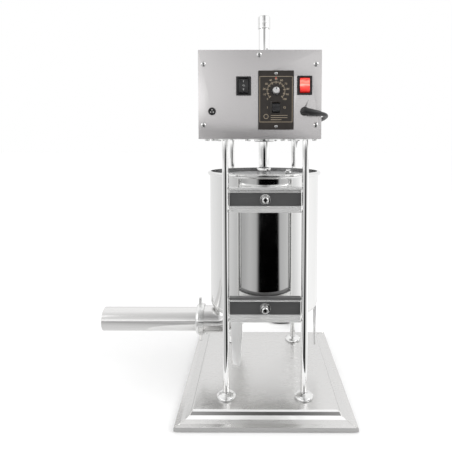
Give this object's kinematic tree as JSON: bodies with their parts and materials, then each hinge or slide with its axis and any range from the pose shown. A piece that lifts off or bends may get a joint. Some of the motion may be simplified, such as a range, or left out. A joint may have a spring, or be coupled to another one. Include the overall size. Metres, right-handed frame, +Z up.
{
  "type": "sausage stuffer",
  "caption": "Upright electric sausage stuffer: cylinder in a column frame, rack-driven piston, switch head above, side outlet with horn and wing nut, tray base.",
  "frame": {"origin": "middle of the footprint of tray and horn, on the floor", "axes": "+Z up; -Y is the side with the switches; the horn points to -X"},
  "size_m": [0.4896, 0.5572, 0.742],
  "materials": {
    "sheet_steel": "satin brushed stainless sheet",
    "panel_steel": "satin stainless sheet, fine grain",
    "cylinder_steel": "polished stainless sheet",
    "polished_steel": "mirror polished stainless bar",
    "bracket_steel": "polished stainless channel",
    "fastener_steel": "machined stainless",
    "wing_nut_steel": "cast and polished stainless",
    "knob_metal": "satin turned aluminium",
    "cast_aluminium": "machined casting",
    "gearbox_paint": "dark grey paint",
    "motor_paint": "black paint",
    "foot_rubber": "moulded",
    "cord_rubber": "smooth black sheath",
    "seal_silicone": "food silicone",
    "black_plastic": "moulded, glossy",
    "controller_plastic": null,
    "red_plastic": "translucent red, lit"
  },
  "bodies": {
    "root": {"base_tray": "sheet_steel", "rubber_foot_front_left": "foot_rubber", "rubber_foot_front_right": "foot_rubber", "rubber_foot_rear_left": "foot_rubber", "rubber_foot_rear_right": "foot_rubber", "column_front_left": "polished_steel", "column_front_right": "polished_steel", "column_rear_left": "polished_steel", "column_rear_right": "polished_steel", "column_flange_front_left": "polished_steel", "column_flange_front_right": "polished_steel", "column_flange_rear_left": "polished_steel", "column_flange_rear_right": "polished_steel", "bracket_upper_front": "bracket_steel", "bracket_upper_rear": "bracket_steel", "bracket_lower_front": "bracket_steel", "bracket_lower_rear": "bracket_steel", "bracket_bolt_upper_front": "fastener_steel", "bracket_bolt_upper_rear": "fastener_steel", "bracket_bolt_lower_front": "fastener_steel", "bracket_bolt_lower_rear": "fastener_steel", "cylinder_wall": "cylinder_steel", "cylinder_bottom": "cylinder_steel", "outlet_neck": "cylinder_steel", "cylinder_leg_right": "cylinder_steel", "cylinder_leg_rear_left": "cylinder_steel", "cylinder_leg_front_left": "cylinder_steel", "horn": "cylinder_steel", "horn_gasket": "seal_silicone", "head_cover": "sheet_steel", "head_plate": "bracket_steel", "control_panel": "panel_steel", "guide_bush": "polished_steel", "gear_case": "cast_aluminium", "gearbox": "gearbox_paint", "motor": "motor_paint", "bearing_left": "fastener_steel", "bearing_right": "fastener_steel", "direction_switch_body": "black_plastic", "power_switch_body": "black_plastic", "speed_controller": "controller_plastic", "pedal_socket": "black_plastic", "strain_relief": "cord_rubber", "power_cord": "cord_rubber", "cord_coil": "cord_rubber", "plug": "cord_rubber", "cord_clip": "fastener_steel"},
    "piston": {"rack_rod": "polished_steel", "rod_cap": "polished_steel", "piston_disc": "cast_aluminium", "piston_seal": "seal_silicone", "piston_nut": "fastener_steel"},
    "air_valve": {"air_valve": "fastener_steel"},
    "pinion": {"pinion_shaft": "fastener_steel"},
    "direction_rocker": {"direction_rocker": "black_plastic"},
    "power_rocker": {"power_rocker": "red_plastic"},
    "run_rocker": {"run_rocker": "black_plastic"},
    "speed_knob": {"speed_knob": "knob_metal"},
    "wing_nut": {"wing_nut": "wing_nut_steel"}
  },
  "joints": [
    {"name": "piston_slide", "type": "slide", "parent": "root", "child": "piston", "axis": [0, 0, 1], "range_m": [-0.184, 0.052]},
    {"name": "pinion_spin", "type": "hinge", "parent": "root", "child": "pinion", "pos_m": [0.08855, 0.021, 0.517], "axis": [1, 0, 0], "range_deg": [-215, 755]},
    {"name": "air_valve_lift", "type": "slide", "parent": "piston", "child": "air_valve", "axis": [0, 0, 1], "range_m": [0, 0.004], "stiffness_N_per_m": 200, "springref_m": -0.003},
    {"name": "direction_rocker_tilt", "type": "hinge", "parent": "root", "child": "direction_rocker", "pos_m": [0.05085, -0.1513, 0.5836], "axis": [1, 0, 0], "range_deg": [-8, 8]},
    {"name": "power_rocker_tilt", "type": "hinge", "parent": "root", "child": "power_rocker", "pos_m": [0.15345, -0.1513, 0.5846], "axis": [1, 0, 0], "range_deg": [0, 16]},
    {"name": "run_rocker_tilt", "type": "hinge", "parent": "root", "child": "run_rocker", "pos_m": [0.10525, -0.1513, 0.5472], "axis": [1, 0, 0], "range_deg": [0, 16]},
    {"name": "speed_knob_turn", "type": "hinge", "parent": "root", "child": "speed_knob", "pos_m": [0.10525, -0.1513, 0.5752], "axis": [0, -1, 0], "range_deg": [-135, 135]},
    {"name": "wing_nut_turn", "type": "hinge", "parent": "root", "child": "wing_nut", "pos_m": [-0.04145, 0, 0.1202], "axis": [-1, 0, 0], "range_deg": [0, 540]}
  ],
  "couplings": [
    {"joint": "pinion_spin", "follows": "piston_slide", "rad_per_m": -71.429}
  ]
}
